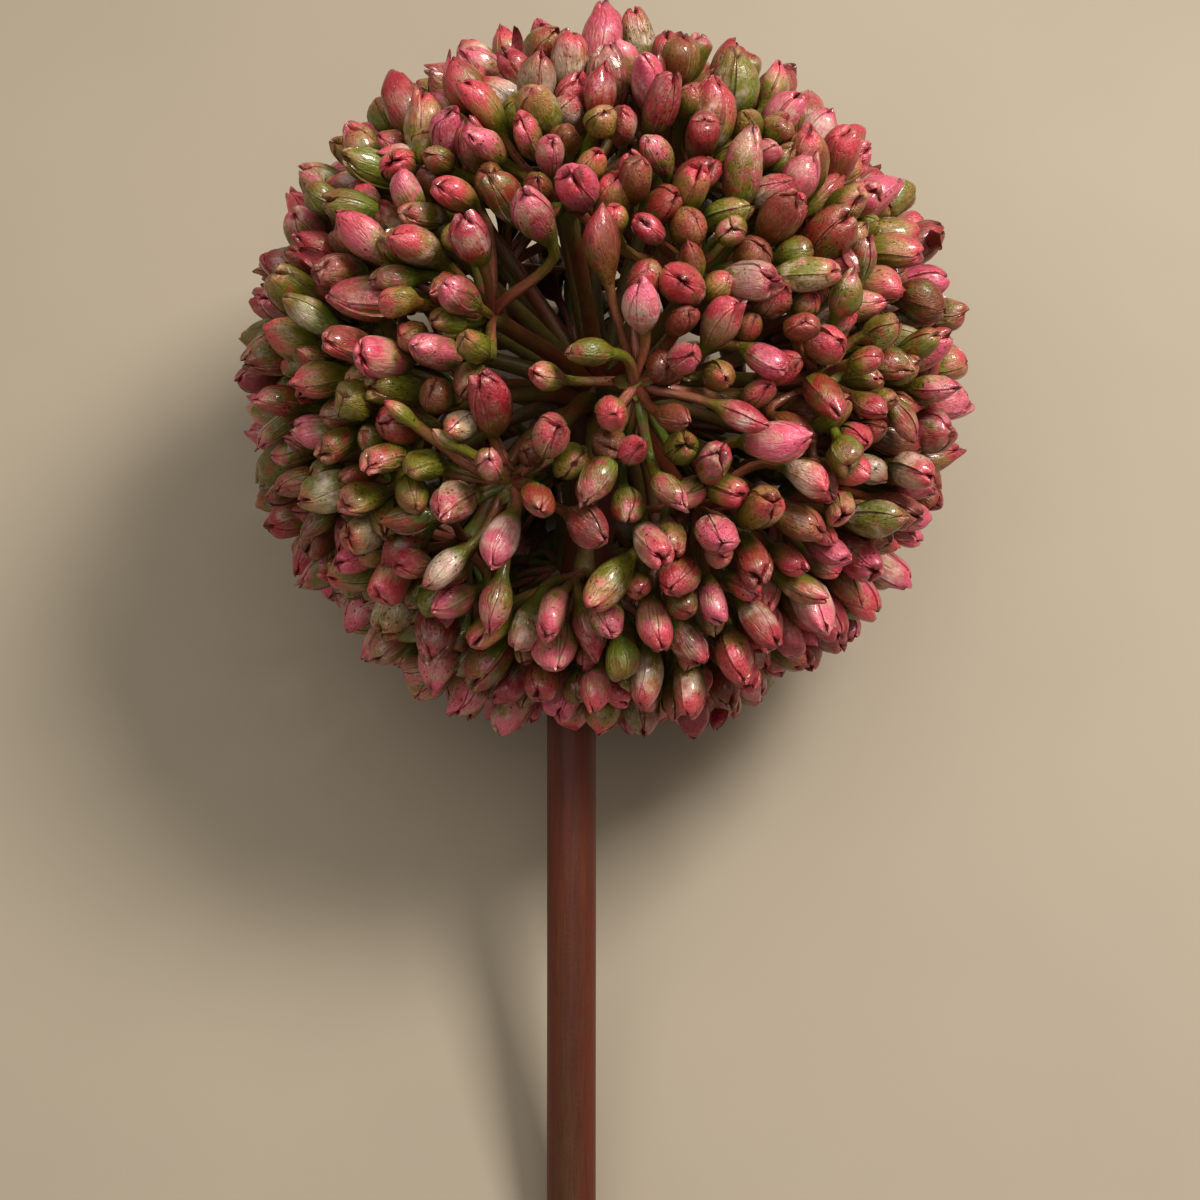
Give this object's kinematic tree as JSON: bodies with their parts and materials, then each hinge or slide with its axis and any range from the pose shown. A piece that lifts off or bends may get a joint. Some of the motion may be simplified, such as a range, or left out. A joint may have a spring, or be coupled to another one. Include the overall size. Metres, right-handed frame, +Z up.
{
  "type": "giant allium flower head",
  "caption": "Round umbel of budded florets on forked rays with a length of bare cut stalk, lying on its side.",
  "frame": {"origin": "middle of the small flat spot that the umbel rests on, straight under the umbel's middle", "axes": "+Z up from the surface, +Y along the flower towards its crown, the cut stalk towards -Y"},
  "size_m": [0.1284, 0.2164, 0.127],
  "materials": {
    "stalk": "smooth waxy plant skin, maroon brown with faint olive patches, satin",
    "florets": "waxy buds, olive green at the foot turning coral and pink towards the tip, with small sharp highlights"
  },
  "bodies": {
    "root": {"stalk": "stalk", "spray_01": "florets", "spray_02": "florets", "spray_03": "florets", "spray_04": "florets", "spray_05": "florets", "spray_06": "florets", "spray_07": "florets", "spray_08": "florets", "spray_09": "florets", "spray_10": "florets", "spray_11": "florets", "spray_12": "florets", "spray_13": "florets", "spray_14": "florets", "spray_15": "florets", "spray_16": "florets", "spray_17": "florets", "spray_18": "florets", "spray_19": "florets", "spray_20": "florets", "spray_21": "florets", "spray_22": "florets", "spray_23": "florets", "spray_24": "florets", "spray_25": "florets", "spray_26": "florets", "spray_27": "florets", "spray_28": "florets", "spray_29": "florets", "spray_30": "florets", "spray_31": "florets", "spray_32": "florets", "spray_33": "florets", "spray_34": "florets", "spray_35": "florets", "spray_36": "florets", "spray_37": "florets", "spray_38": "florets", "spray_39": "florets", "spray_40": "florets"}
  },
  "joints": []
}
